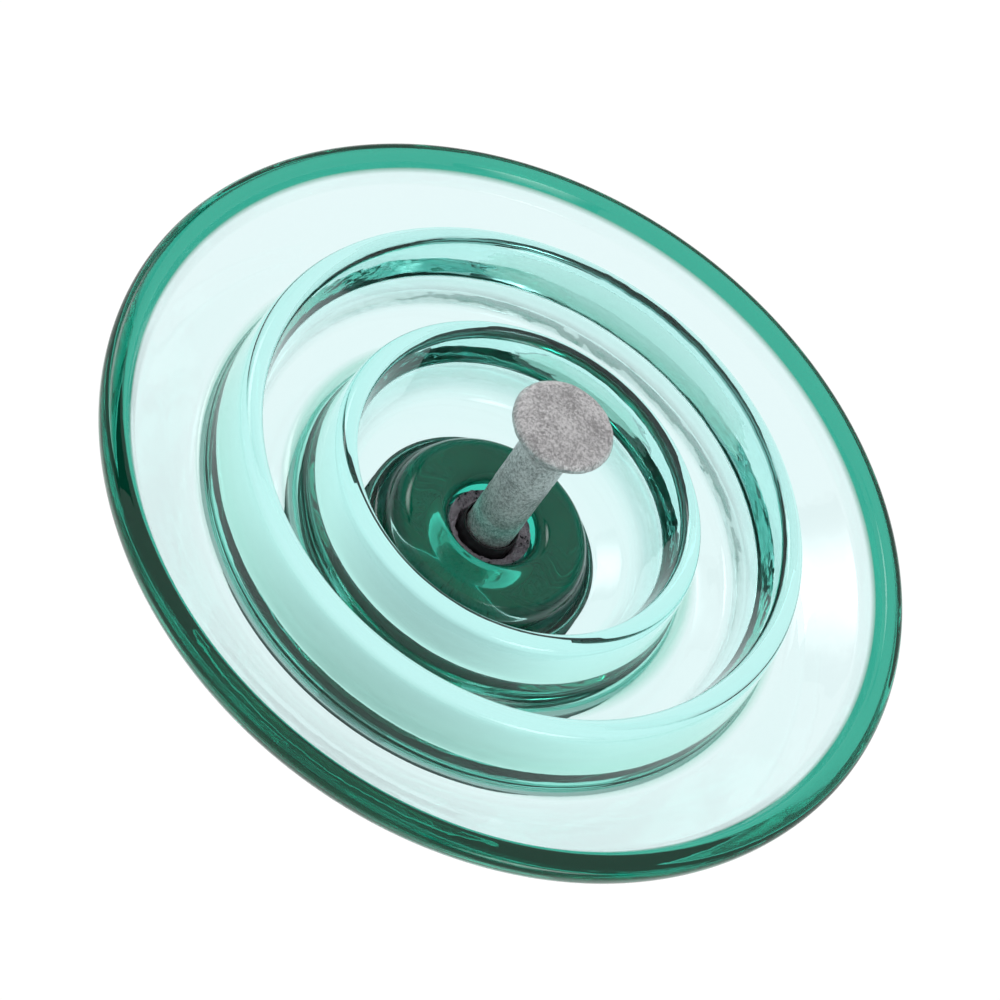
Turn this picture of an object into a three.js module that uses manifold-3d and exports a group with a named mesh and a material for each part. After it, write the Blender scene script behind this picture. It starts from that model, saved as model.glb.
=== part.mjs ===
// Toughened-glass disc insulator of the cap-and-pin kind, one unit of a suspension string.
// Millimetres, +Z up, as it hangs in service: iron cap on top, steel pin with its ball below.
// The origin is the suspension point, where the ball of the unit above bears in the cap's socket.
import * as THREE from 'three';
import { mergeVertices } from 'three/addons/utils/BufferGeometryUtils.js';
import Module from 'manifold-3d';

// ---- Coupling (ball and socket for a 16 mm shank) ----
const SPACING = 146;            // bearing point of the socket to bearing point of the ball
const SHANK_RADIUS = 8.05;
const BALL_RADIUS = 15.9;
const BALL_FACE_INSET = 1.2;    // from the largest radius in to where the domed end face turns
const BALL_FLAT_RADIUS = 6;     // flat in the middle of the end face
const BALL_DOME = 1.5;          // rise of the end face from its edge to the flat
const BALL_EDGE = 3.6;          // end face to the level of the largest radius
const BALL_SEAT = 10;           // end face to the level where the shoulder bears
const BALL_HEIGHT = 13.4;       // end face to the start of the shank
const BALL_FACE_ROUND = 3;
const BALL_EDGE_ROUND = 1.2;
const BALL_LAND = 1.8;          // near-straight band above the largest radius
const BALL_LAND_TAPER = 0.5;
const BALL_LAND_ROUND = 2;
const SHANK_FILLET = 5;         // where the ball's shoulder meets the shank
const BALL_CLEARANCE = 1.15;    // radial room for a ball in a socket
const SLOT_CLEARANCE = 1.55;    // room on each side of a shank in the slot
const SEAT_STEP = 3;            // drop from the bearing level to the roof of the ball's way in
const SEAT_RISE = 1.9;          // bearing level to the top of the conical seat
const LOCK_ROOM = 1.8;          // how far a ball can drop while the locking pin is in

// ---- Glass shell ----
const SHELL_DIAMETER = 255;
const HEAD_RADIUS = 38;
const HEAD_ROUND = 9;
const HEAD_THICKNESS = 15;      // glass between the head's top and the pin's hole
const NECK_INSET = 2.5;         // the neck's foot is narrower than the head by this
const NECK_FILLET = 6;
const NECK_DEPTH = 57;          // head's top to the foot of the neck
const SHED_SLOPE = 0.327;       // fall of the upper surface for each unit outwards
const KNEE_INSET = 26.5;        // from the rim in to where the upper surface starts to fall faster
const KNEE_ROUND = 40;
const BRIM_FALL = 9.1;          // how far the rim's top lies below the straight line of the shed
const RIM_WIDTH = 6.9;
const RIM_HEIGHT = 6.7;         // outer wall of the rim
const RIM_TOP_ROUND = 6.4;
const RIM_ROUND = 2.7;
const LIP_SPREAD = 4.4;         // how far the rim's inner wall leans inwards
const LIP_FLOOR = 10.9;         // each floor: straight line of the shed down to the groove's floor
const LIP_FILLET = 2.8;
const WALL_DRAFT = 0.14;        // lean of every rib wall for each unit of its height
const OUTER_RIB = {
  radius: 86.2, thickness: 6.5, height: 27, outerFloor: 5.8, innerFloor: 5.8, outerFillet: 3, innerFillet: 3,
};
const INNER_RIB = {
  radius: 55.4, thickness: 6.2, height: 26.5, outerFloor: 9, innerFloor: 10, outerFillet: 9, innerFillet: 8.4,
};
const BOSS_WALL = 17.5;         // mouth to the boss's side
const BOSS_HEIGHT = 11;
const BOSS_FLOOR = 9;
const BOSS_FILLET = 6.5;
const BOSS_FLARE = 2;           // the boss's foot is wider than its lowest ring by this
const BOSS_ROUND = 6;
const MOUTH_CLEARANCE = 1.4;    // room round the pin's head as it goes in through the mouth
const MOUTH_ROUND = 4.5;
const MOUTH_FLARE = 1;          // the mouth's edge is wider than the throat by this
const THROAT_LENGTH = 9;        // narrow part of the pin's hole
const HOLE_STEP = 5;            // the hole's waist is wider than its mouth by this
const HOLE_SPREAD = 1.5;        // the hole's top is wider than its waist by this
const HOLE_ROUND = 4;

// ---- Pin ----
const PIN_HEAD_RADIUS = 12.6;
const PIN_HEAD_LAND = 5;        // straight part above the cone
const PIN_CONE_LENGTH = 24;
const PIN_HEAD_ROUND = 1.5;

// ---- Cap ----
const LIP_THICKNESS = 11;       // top of the cap above the bearing level
const SOCKET_WALL = 11.5;
const FRONT_SETBACK = 5;        // flat on the socket's open side, in from the round
const CROWN_THICKNESS = 7;
const CAP_WALL = 5.5;
const HEAD_CLEARANCE = 4.3;     // the cap's mouth to the glass head, filled with cement
const TOOTH_DEPTH = 2.3;        // the cap's inner wall widens by this above each ridge
const TOOTH_STEP = 1.6;
const TOOTH_COUNT = 3;
const SHOULDER_DROP = 17;       // crown's underside to the first ridge's wide end
const SHOULDER_ROUND = 15;      // inner round between the crown and the wall
const BEAD_WIDTH = 2;
const BEAD_HEIGHT = 7;
const LIP_ROUND = 3;

// ---- Fillings ----
const GAP = 0.3;                // between pieces that touch
const CUSHION_THICKNESS = 2;
const PIN_CUSHION_THICKNESS = 1.5;
const PIN_CUSHION_INSET = 1.6;  // from the pin head's side in to the cushion's
const COAT_THICKNESS = 0.8;
const CEMENT_RECESS = 1.6;      // cement's lower face above the cap's lower edge
const MOUTH_RECESS = 4;         // pin cement's lower face above the boss's lowest ring
const COAT_OVERHANG = 1;        // the pin's coat ends below the cement by this

// ---- Locking pin ----
const WIRE_RADIUS = 2.1;
const LEG_GAP = 0.5;
const LEG_REACH = 4;            // leg ends past the axis when locked
const HOOK_LENGTH = 4;
const HOOK_SPREAD = 2.6;
const EYE_RADIUS = 7.5;
const EYE_STANDOFF = 3.5;       // cap's wall to the start of the eye
const EYE_NECK = 2;             // length over which the legs part into the eye
const WIRE_CLEARANCE = 0.5;
const WIRE_LIFT = 0.1;          // the wire's axis above the middle of its room
const POCKET_DEPTH = 5.5;       // recess in the socket's back wall that takes the hooks

// ---- Facets ----
const SHELL_FACETS = 48;
const FITTING_FACETS = 32;
const WIRE_FACETS = 4;
const WIRE_STEPS = 48;
const ARC_STEP = Math.PI / 4;
const FINE_ARC_STEP = Math.PI / 6;
const STEP_SLACK = 1e-3;        // keeps rounding from adding a step to one of two matching arcs
const CUT_OVERRUN = 1;          // how far a cut runs past the faces that it opens

// ---- Levels that follow from the sizes above ----
const BALL_FACE_RADIUS = BALL_RADIUS - BALL_FACE_INSET;
const SOCKET_RADIUS = BALL_RADIUS + BALL_CLEARANCE;
const SLOT_RADIUS = SHANK_RADIUS + SLOT_CLEARANCE;
const SOCKET_FLOOR = -(BALL_SEAT + LOCK_ROOM + 2 * WIRE_RADIUS);
const SOCKET_OUTER = SOCKET_RADIUS + SOCKET_WALL;
const CROWN_UNDERSIDE = SOCKET_FLOOR - CROWN_THICKNESS;
const CAP_MOUTH_RADIUS = HEAD_RADIUS + HEAD_CLEARANCE;
const CAP_WIDE_RADIUS = CAP_MOUTH_RADIUS + TOOTH_DEPTH;
const CAP_OUTER = CAP_WIDE_RADIUS + CAP_WALL;
const LEG_Z = SOCKET_FLOOR + WIRE_RADIUS + WIRE_CLEARANCE + WIRE_LIFT;
const NECK_RADIUS = HEAD_RADIUS - NECK_INSET;
const MOUTH_RADIUS = PIN_HEAD_RADIUS + MOUTH_CLEARANCE;
const HOLE_WAIST_RADIUS = MOUTH_RADIUS + HOLE_STEP;
const HOLE_RADIUS = HOLE_WAIST_RADIUS + HOLE_SPREAD;
const BOSS_RADIUS = MOUTH_RADIUS + BOSS_WALL;
const CUSHION_RADIUS = HEAD_RADIUS - HEAD_ROUND;
const PIN_CUSHION_RADIUS = PIN_HEAD_RADIUS - PIN_CUSHION_INSET;
const HEAD_TOP = CROWN_UNDERSIDE - CUSHION_THICKNESS - 2 * GAP;
const HOLE_TOP = HEAD_TOP - HEAD_THICKNESS;
const NECK_FOOT = HEAD_TOP - NECK_DEPTH;
const CEMENT_BOTTOM = NECK_FOOT + NECK_FILLET;
const CAP_BOTTOM = CEMENT_BOTTOM - CEMENT_RECESS;
const BOSS_FOOT_RADIUS = BOSS_RADIUS + BOSS_FLARE;
const BOSS_FOOT = shedLine(BOSS_FOOT_RADIUS) - BOSS_FLOOR;
const BOSS_BOTTOM = BOSS_FOOT - BOSS_HEIGHT;
const PIN_TOP = HOLE_TOP - PIN_CUSHION_THICKNESS - 2 * GAP;
const BALL_END = -SPACING - BALL_SEAT;
const COAT_ROOM = COAT_THICKNESS + 2 * GAP;

const wasm = await Module();
wasm.setup();

// Corners are [radius, height, fillet]; each fillet becomes an arc tangent to its two sides,
// no larger than the sides have room for.
function outline(corners, arcStep = ARC_STEP) {
  const points = [];
  corners.forEach(([r, z, fillet = 0], i) => {
    const corner = new THREE.Vector2(r, z);
    if (fillet === 0) {
      points.push(corner);
      return;
    }
    const last = corners.at(i - 1);
    const next = corners[(i + 1) % corners.length];
    const toLast = new THREE.Vector2(last[0], last[1]).sub(corner);
    const toNext = new THREE.Vector2(next[0], next[1]).sub(corner);
    const room = Math.min(
      toLast.length() * (last[2] ? 0.49 : 0.98), toNext.length() * (next[2] ? 0.49 : 0.98));
    toLast.normalize();
    toNext.normalize();
    const half = Math.acos(THREE.MathUtils.clamp(toLast.dot(toNext), -1, 1)) / 2;
    const tangent = Math.min(fillet / Math.tan(half), room);
    const radius = tangent * Math.tan(half);
    const inward = toLast.clone().add(toNext).normalize();
    const centre = corner.clone().addScaledVector(inward, radius / Math.sin(half));
    const from = corner.clone().addScaledVector(toLast, tangent).sub(centre);
    const to = corner.clone().addScaledVector(toNext, tangent).sub(centre);
    const sweep = Math.atan2(from.cross(to), from.dot(to));
    const steps = Math.max(1, Math.ceil(Math.abs(sweep) / arcStep - STEP_SLACK));
    for (let s = 0; s <= steps; s += 1) {
      points.push(from.clone().rotateAround(new THREE.Vector2(), (sweep * s) / steps).add(centre));
    }
  });
  return points;
}

// Spins a closed outline about the Z axis; an outline on the axis closes there.
function revolve(points, facets) {
  const profile = THREE.ShapeUtils.area(points) < 0 ? [...points].reverse() : [...points];
  if (profile[0].x > 0 || profile[profile.length - 1].x > 0) {
    profile.push(profile[0].clone());
  }
  return new THREE.LatheGeometry(profile, facets).rotateX(Math.PI / 2);
}

function toSolid(geometry) {
  const bare = geometry.clone();
  bare.deleteAttribute('normal');
  bare.deleteAttribute('uv');
  const merged = mergeVertices(bare, 1e-4);
  return new wasm.Manifold(new wasm.Mesh({
    numProp: 3,
    vertProperties: new Float32Array(merged.attributes.position.array),
    triVerts: new Uint32Array(merged.index.array),
  }));
}

function toGeometry(solid) {
  const mesh = solid.getMesh();
  const geometry = new THREE.BufferGeometry();
  geometry.setAttribute('position', new THREE.BufferAttribute(mesh.vertProperties, 3));
  geometry.setIndex(new THREE.BufferAttribute(mesh.triVerts, 1));
  geometry.computeVertexNormals();
  return geometry;
}

// ---- Outlines that two pieces share, each moved by the clearance it is given ----

function headWall(clearance) {
  return [
    [HEAD_RADIUS + clearance, HEAD_TOP + clearance, HEAD_ROUND + clearance],
    [NECK_RADIUS + clearance, NECK_FOOT],
  ];
}

function holeWall(clearance) {
  const throatTop = BOSS_BOTTOM + THROAT_LENGTH;
  return [
    [MOUTH_RADIUS - clearance, throatTop],
    [HOLE_WAIST_RADIUS - clearance, throatTop + THROAT_LENGTH, HOLE_ROUND],
    [HOLE_RADIUS - clearance, HOLE_TOP - clearance, HOLE_ROUND],
  ];
}

function pinWall(clearance) {
  const landFoot = PIN_TOP - PIN_HEAD_LAND;
  return [
    [SHANK_RADIUS + clearance, landFoot - PIN_CONE_LENGTH, 2 * SHANK_RADIUS],
    [PIN_HEAD_RADIUS + clearance, landFoot, PIN_HEAD_LAND],
  ];
}

// From the crown down to the cap's lower edge, with ridges that grip the cement.
function capWall(clearance) {
  const firstTooth = CROWN_UNDERSIDE - SHOULDER_DROP;
  const pitch = (firstTooth - CAP_BOTTOM) / TOOTH_COUNT;
  const wall = [[CAP_WIDE_RADIUS - clearance, CROWN_UNDERSIDE - clearance, SHOULDER_ROUND - clearance]];
  for (let tooth = 0; tooth < TOOTH_COUNT; tooth += 1) {
    const top = firstTooth - tooth * pitch;
    wall.push([CAP_WIDE_RADIUS - clearance, top]);
    if (tooth < TOOTH_COUNT - 1) {
      wall.push([CAP_MOUTH_RADIUS - clearance, top - pitch + TOOTH_STEP]);
    }
  }
  wall.push([CAP_MOUTH_RADIUS - clearance, CAP_BOTTOM]);
  return wall;
}

function wallRadiusAt(wall, z) {
  const above = wall[wall.length - 2];
  const below = wall[wall.length - 1];
  return THREE.MathUtils.mapLinear(z, above[1], below[1], above[0], below[0]);
}

// ---- Glass shell ----

// The straight line of the shed's upper surface, which the floors of the grooves are measured from.
function shedLine(r) {
  return NECK_FOOT - SHED_SLOPE * (r - NECK_RADIUS);
}

// A drip rib under the shed: outer root, rounded tip, inner root.
function rib({ radius, thickness, height, outerFloor, innerFloor, outerFillet, innerFillet }) {
  const outer = radius + thickness / 2;
  const inner = radius - thickness / 2;
  const outerRoot = shedLine(outer) - outerFloor;
  const innerRoot = shedLine(inner) - innerFloor;
  const tip = outerRoot - height;
  return [
    [outer + WALL_DRAFT * height, outerRoot, outerFillet],
    [outer, tip, thickness / 2],
    [inner, tip, thickness / 2],
    [inner - WALL_DRAFT * (innerRoot - tip), innerRoot, innerFillet],
  ];
}

function rim() {
  const outer = SHELL_DIAMETER / 2;
  const inner = outer - RIM_WIDTH;
  const knee = outer - KNEE_INSET;
  const lipRoot = inner - LIP_SPREAD;
  const top = shedLine(outer) - BRIM_FALL;
  return [
    [knee, shedLine(knee), KNEE_ROUND],
    [outer, top, RIM_TOP_ROUND],
    [outer, top - RIM_HEIGHT, RIM_ROUND],
    [inner, top - RIM_HEIGHT, RIM_ROUND],
    [lipRoot, shedLine(lipRoot) - LIP_FLOOR, LIP_FILLET],
  ];
}

function boss() {
  return [
    [BOSS_FOOT_RADIUS, BOSS_FOOT, BOSS_FILLET],
    [BOSS_RADIUS, BOSS_BOTTOM, BOSS_ROUND],
    [MOUTH_RADIUS + MOUTH_FLARE, BOSS_BOTTOM, MOUTH_ROUND],
  ];
}

function makeShell() {
  const [shoulder, neck] = headWall(0);
  const corners = [
    [0, HEAD_TOP],
    shoulder,
    [...neck, NECK_FILLET],
    ...rim(),
    ...rib(OUTER_RIB),
    ...rib(INNER_RIB),
    ...boss(),
    ...holeWall(0),
    [0, HOLE_TOP],
  ];
  return revolve(outline(corners), SHELL_FACETS);
}

// ---- Pin ----

function makePin() {
  const corners = [
    [0, BALL_END],
    [BALL_FLAT_RADIUS, BALL_END],
    [BALL_FACE_RADIUS, BALL_END + BALL_DOME, BALL_FACE_ROUND],
    [BALL_RADIUS, BALL_END + BALL_EDGE, BALL_EDGE_ROUND],
    [BALL_RADIUS - BALL_LAND_TAPER, BALL_END + BALL_EDGE + BALL_LAND, BALL_LAND_ROUND],
    [SHANK_RADIUS, BALL_END + BALL_HEIGHT, SHANK_FILLET],
    ...pinWall(0),
    [PIN_HEAD_RADIUS, PIN_TOP, PIN_HEAD_ROUND],
    [0, PIN_TOP],
  ];
  return revolve(outline(corners, FINE_ARC_STEP), FITTING_FACETS);
}

// ---- Cap ----

// The outline of a way in from the front (+X): a half round about the axis with straight sides.
function wayIn(radius, reach) {
  const shape = new THREE.Shape();
  shape.moveTo(reach, -radius);
  shape.lineTo(reach, radius);
  shape.lineTo(0, radius);
  shape.absarc(0, 0, radius, Math.PI / 2, 1.5 * Math.PI, false);
  shape.closePath();
  return shape;
}

function slab(shape, bottom, top) {
  const settings = { depth: top - bottom, bevelEnabled: false, curveSegments: FITTING_FACETS / 2 };
  return new THREE.ExtrudeGeometry(shape, settings).translate(0, 0, bottom);
}

// The hole for the locking pin's two legs, as a flat-sided oval along X.
function legHole(length) {
  const round = WIRE_RADIUS + WIRE_CLEARANCE;
  const half = WIRE_RADIUS + LEG_GAP / 2;
  const shape = new THREE.Shape();
  shape.moveTo(half, -round);
  shape.absarc(half, 0, round, -Math.PI / 2, Math.PI / 2, false);
  shape.absarc(-half, 0, round, Math.PI / 2, 1.5 * Math.PI, false);
  shape.closePath();
  const settings = { depth: length, bevelEnabled: false, curveSegments: 8 };
  return new THREE.ExtrudeGeometry(shape, settings).rotateX(Math.PI / 2).rotateZ(-Math.PI / 2);
}

function makeCap() {
  const shoulderTop = CROWN_UNDERSIDE + CAP_WALL;
  const beadTop = CAP_BOTTOM + BEAD_HEIGHT;
  const body = outline([
    [0, LIP_THICKNESS],
    [SOCKET_OUTER, LIP_THICKNESS, LIP_ROUND],
    [SOCKET_OUTER, shoulderTop],
    [CAP_OUTER, shoulderTop, SHOULDER_ROUND + CAP_WALL],
    [CAP_OUTER, beadTop + BEAD_WIDTH],
    [CAP_OUTER + BEAD_WIDTH, beadTop, BEAD_WIDTH],
    [CAP_OUTER + BEAD_WIDTH, CAP_BOTTOM, BEAD_WIDTH],
    ...capWall(0).reverse(),
    [0, CROWN_UNDERSIDE],
  ]);
  const reach = SOCKET_OUTER + CUT_OVERRUN;
  const roof = -SEAT_STEP;
  const aboveLip = LIP_THICKNESS + CUT_OVERRUN;
  const seatFoot = SLOT_RADIUS + SEAT_RISE + SEAT_STEP;
  const seat = [
    new THREE.Vector2(0, roof - CUT_OVERRUN),
    new THREE.Vector2(seatFoot, roof - CUT_OVERRUN),
    new THREE.Vector2(seatFoot, roof),
    new THREE.Vector2(SLOT_RADIUS, SEAT_RISE),
    new THREE.Vector2(0, SEAT_RISE),
  ];
  const hookRoom = WIRE_RADIUS + LEG_GAP / 2 + HOOK_SPREAD + WIRE_RADIUS + WIRE_CLEARANCE;
  const pocketTop = LEG_Z + WIRE_RADIUS + WIRE_CLEARANCE;
  const pocket = new THREE.BoxGeometry(
    POCKET_DEPTH + SOCKET_RADIUS, 2 * hookRoom, pocketTop - SOCKET_FLOOR);
  pocket.translate(-(POCKET_DEPTH + SOCKET_RADIUS) / 2, 0, (pocketTop + SOCKET_FLOOR) / 2);
  const front = new THREE.BoxGeometry(
    2 * FRONT_SETBACK, 2 * reach, aboveLip - SOCKET_FLOOR);
  front.translate(SOCKET_OUTER, 0, (aboveLip + SOCKET_FLOOR) / 2);
  const cutters = [
    slab(wayIn(SOCKET_RADIUS, reach), SOCKET_FLOOR, roof),
    slab(wayIn(SLOT_RADIUS, reach), roof - CUT_OVERRUN, aboveLip),
    revolve(seat, FITTING_FACETS),
    pocket,
    front,
    legHole(reach).translate(0, 0, LEG_Z),
  ];
  let cap = toSolid(revolve(body, FITTING_FACETS));
  cutters.forEach((cutter) => {
    cap = cap.subtract(toSolid(cutter));
  });
  return toGeometry(cap);
}

// ---- Fillings ----

function makeHeadCushion() {
  const bottom = HEAD_TOP + GAP;
  return revolve([
    new THREE.Vector2(0, bottom),
    new THREE.Vector2(CUSHION_RADIUS, bottom),
    new THREE.Vector2(CUSHION_RADIUS, bottom + CUSHION_THICKNESS),
    new THREE.Vector2(0, bottom + CUSHION_THICKNESS),
  ], FITTING_FACETS);
}

function makePinCushion() {
  const bottom = PIN_TOP + GAP;
  return revolve([
    new THREE.Vector2(0, bottom),
    new THREE.Vector2(PIN_CUSHION_RADIUS, bottom),
    new THREE.Vector2(PIN_CUSHION_RADIUS, bottom + PIN_CUSHION_THICKNESS),
    new THREE.Vector2(0, bottom + PIN_CUSHION_THICKNESS),
  ], FITTING_FACETS);
}

function makeCapCoating() {
  const inner = CUSHION_RADIUS + GAP;
  const outside = capWall(GAP);
  const inside = capWall(GAP + COAT_THICKNESS);
  return revolve(outline([
    [inner, outside[0][1]],
    ...outside,
    ...inside.reverse(),
    [inner, CROWN_UNDERSIDE - GAP - COAT_THICKNESS],
  ]), FITTING_FACETS);
}

function makeCapCement() {
  const inner = CUSHION_RADIUS + GAP;
  const outside = capWall(COAT_ROOM);
  const outerFoot = [wallRadiusAt(outside, CEMENT_BOTTOM), CEMENT_BOTTOM];
  const [shoulder, neck] = headWall(GAP);
  const innerFoot = [wallRadiusAt([shoulder, neck], CEMENT_BOTTOM), CEMENT_BOTTOM];
  return revolve(outline([
    [inner, outside[0][1]],
    ...outside.slice(0, -1),
    outerFoot,
    innerFoot,
    shoulder,
    [inner, HEAD_TOP + GAP],
  ]), FITTING_FACETS);
}

function makePinCoating() {
  const bottom = BOSS_BOTTOM + MOUTH_RECESS - COAT_OVERHANG;
  const outside = pinWall(GAP + COAT_THICKNESS);
  const inside = pinWall(GAP);
  return revolve(outline([
    [SHANK_RADIUS + GAP + COAT_THICKNESS, bottom],
    ...outside,
    [PIN_HEAD_RADIUS + GAP + COAT_THICKNESS, PIN_TOP],
    [PIN_HEAD_RADIUS + GAP, PIN_TOP],
    ...inside.reverse(),
    [SHANK_RADIUS + GAP, bottom],
  ]), FITTING_FACETS);
}

function makePinCement() {
  const bottom = BOSS_BOTTOM + MOUTH_RECESS;
  const inner = PIN_HEAD_RADIUS + COAT_ROOM;
  return revolve(outline([
    [SHANK_RADIUS + COAT_ROOM, bottom],
    [MOUTH_RADIUS - GAP, bottom],
    ...holeWall(GAP),
    [inner, HOLE_TOP - GAP],
    [inner, PIN_TOP - PIN_HEAD_LAND],
    ...pinWall(COAT_ROOM).slice(0, 1),
  ]), FITTING_FACETS);
}

// ---- Locking pin: one wire, two legs side by side, spread ends inside and an eye outside ----

function lockingPath() {
  const leg = WIRE_RADIUS + LEG_GAP / 2;
  const eyeStart = -(SOCKET_OUTER + EYE_STANDOFF);
  const eyeCentre = eyeStart - EYE_RADIUS;
  const path = new THREE.CurvePath();
  const side = (sign) => [
    new THREE.Vector3(LEG_REACH, sign * (leg + HOOK_SPREAD), LEG_Z),
    new THREE.Vector3(LEG_REACH - HOOK_LENGTH / 2, sign * leg, LEG_Z),
    new THREE.Vector3(LEG_REACH - HOOK_LENGTH, sign * leg, LEG_Z),
    new THREE.Vector3(eyeStart, sign * leg, LEG_Z),
    new THREE.Vector3(eyeStart - EYE_NECK, sign * leg, LEG_Z),
    new THREE.Vector3(eyeStart - EYE_NECK, sign * EYE_RADIUS, LEG_Z),
    new THREE.Vector3(eyeCentre, sign * EYE_RADIUS, LEG_Z),
  ];
  const [tip, bend, start, foot, turn, swell, eye] = side(1);
  const [tip2, bend2, start2, foot2, turn2, swell2, eye2] = side(-1);
  const far = new THREE.Vector3(eyeCentre - EYE_RADIUS, 0, LEG_Z);
  const corner = new THREE.Vector3(far.x, EYE_RADIUS, LEG_Z);
  const corner2 = new THREE.Vector3(far.x, -EYE_RADIUS, LEG_Z);
  path.add(new THREE.QuadraticBezierCurve3(tip, bend, start));
  path.add(new THREE.LineCurve3(start, foot));
  path.add(new THREE.CubicBezierCurve3(foot, turn, swell, eye));
  path.add(new THREE.QuadraticBezierCurve3(eye, corner, far));
  path.add(new THREE.QuadraticBezierCurve3(far, corner2, eye2));
  path.add(new THREE.CubicBezierCurve3(eye2, swell2, turn2, foot2));
  path.add(new THREE.LineCurve3(foot2, start2));
  path.add(new THREE.QuadraticBezierCurve3(start2, bend2, tip2));
  return path;
}

function makeLockingPin() {
  const section = new THREE.Shape();
  section.absarc(0, 0, WIRE_RADIUS, 0, 2 * Math.PI, false);
  return new THREE.ExtrudeGeometry(section, {
    steps: WIRE_STEPS,
    curveSegments: WIRE_FACETS,
    bevelEnabled: false,
    extrudePath: lockingPath(),
  });
}

// ---- Materials and assembly ----

function material(color, roughness, metalness, opacity = 1) {
  return new THREE.MeshStandardMaterial({
    color, roughness, metalness, opacity, transparent: opacity < 1,
  });
}

const insulator = new THREE.Group();

function addPart(name, geometry, finish) {
  const mesh = new THREE.Mesh(geometry, finish);
  mesh.name = name;
  insulator.add(mesh);
}

addPart('glass_shell', makeShell(), material(0xbfeadd, 0.03, 0, 0.35));
addPart('cap', makeCap(), material(0x9a9d9b, 0.55, 0.9));
addPart('pin', makePin(), material(0x8f9391, 0.5, 0.9));
addPart('cap_cement', makeCapCement(), material(0x8f9188, 0.95, 0));
addPart('pin_cement', makePinCement(), material(0x8d8590, 0.95, 0));
addPart('cap_coating', makeCapCoating(), material(0x17181a, 0.7, 0));
addPart('pin_coating', makePinCoating(), material(0x17181a, 0.7, 0));
addPart('head_cushion', makeHeadCushion(), material(0x9c7448, 0.95, 0));
addPart('pin_cushion', makePinCushion(), material(0x9c7448, 0.95, 0));
addPart('locking_pin', makeLockingPin(), material(0xb4b6b8, 0.3, 1));

export default insulator;
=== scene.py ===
"""Looks of a glass disc insulator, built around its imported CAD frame.

Metres, +Z up. The disc hangs cap up; the camera looks up at its underside, past the pin's ball.
"""
import math

import bmesh
import bpy
from mathutils import Matrix, Vector, noise


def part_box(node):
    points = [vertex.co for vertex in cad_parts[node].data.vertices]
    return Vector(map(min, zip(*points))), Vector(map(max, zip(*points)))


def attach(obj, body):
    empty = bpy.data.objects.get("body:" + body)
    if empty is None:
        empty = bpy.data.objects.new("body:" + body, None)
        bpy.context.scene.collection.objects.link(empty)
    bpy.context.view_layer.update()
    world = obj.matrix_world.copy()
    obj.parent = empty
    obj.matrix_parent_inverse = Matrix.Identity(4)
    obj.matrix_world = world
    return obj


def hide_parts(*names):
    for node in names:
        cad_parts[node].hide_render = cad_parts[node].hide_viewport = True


MM = 0.001

# ---- Coupling and pin (these sizes repeat the CAD model's, in metres) ----
SHANK_RADIUS = 8.05 * MM
BALL_RADIUS = 15.9 * MM
BALL_FACE_RADIUS = 14.7 * MM
BALL_FLAT_RADIUS = 6 * MM
BALL_DOME = 1.5 * MM
BALL_EDGE = 3.6 * MM
BALL_HEIGHT = 13.4 * MM
BALL_FACE_ROUND = 3 * MM
BALL_EDGE_ROUND = 1.2 * MM
BALL_LAND = 1.8 * MM
BALL_LAND_TAPER = 0.5 * MM
BALL_LAND_ROUND = 2 * MM
SHANK_FILLET = 5 * MM
PIN_HEAD_RADIUS = 12.6 * MM
PIN_HEAD_LAND = 5 * MM
PIN_CONE_LENGTH = 24 * MM
PIN_HEAD_ROUND = 1.5 * MM

# ---- Moulded glass ----
HEAD_RADIUS = 38 * MM
HEAD_ROUND = 9 * MM
HEAD_THICKNESS = 15 * MM
NECK_RADIUS = 35.5 * MM
NECK_FILLET = 6 * MM
NECK_DEPTH = 57 * MM
SHED_SLOPE = 0.327
KNEE_INSET = 26.5 * MM
KNEE_ROUND = 40 * MM
BRIM_FALL = 9.1 * MM
RIM_WIDTH = 6.9 * MM
RIM_HEIGHT = 6.7 * MM
RIM_TOP_ROUND = 6.4 * MM
RIM_ROUND = 2.7 * MM
LIP_SPREAD = 4.4 * MM
LIP_FLOOR = 10.9 * MM
LIP_FILLET = 2.8 * MM
WALL_DRAFT = 0.14
OUTER_RIB = {
    "radius": 86.2 * MM, "thickness": 6.5 * MM, "height": 27 * MM,
    "outer_floor": 5.8 * MM, "inner_floor": 5.8 * MM, "outer_fillet": 3 * MM, "inner_fillet": 3 * MM,
}
INNER_RIB = {
    "radius": 55.4 * MM, "thickness": 6.2 * MM, "height": 26.5 * MM,
    "outer_floor": 9 * MM, "inner_floor": 10 * MM, "outer_fillet": 9 * MM, "inner_fillet": 8.4 * MM,
}
BOSS_RADIUS = 31.5 * MM
BOSS_HEIGHT = 11 * MM
BOSS_FLOOR = 9 * MM
BOSS_FILLET = 6.5 * MM
BOSS_FLARE = 2 * MM
BOSS_ROUND = 6 * MM
MOUTH_RADIUS = 14 * MM
MOUTH_ROUND = 4.5 * MM
MOUTH_FLARE = 1 * MM
THROAT_LENGTH = 9 * MM
HOLE_RADIUS = 20.5 * MM
HOLE_WAIST_RADIUS = 19 * MM
HOLE_ROUND = 4 * MM

# ---- Cap ----
SOCKET_RADIUS = 17.05 * MM
SLOT_RADIUS = 9.6 * MM
SEAT_STEP = 3 * MM
SEAT_RISE = 1.9 * MM
SOCKET_FLOOR = -16 * MM
SOCKET_OUTER = 28.75 * MM
FRONT_SETBACK = 5 * MM
CROWN_THICKNESS = 7 * MM
CAP_WALL = 5.5 * MM
CAP_MOUTH_RADIUS = 42.3 * MM
TOOTH_DEPTH = 2.3 * MM
TOOTH_STEP = 1.6 * MM
TOOTH_COUNT = 3
SHOULDER_DROP = 17 * MM
SHOULDER_ROUND = 15 * MM
BEAD_WIDTH = 2 * MM
BEAD_HEIGHT = 7 * MM
POCKET_DEPTH = 5.5 * MM

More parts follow.
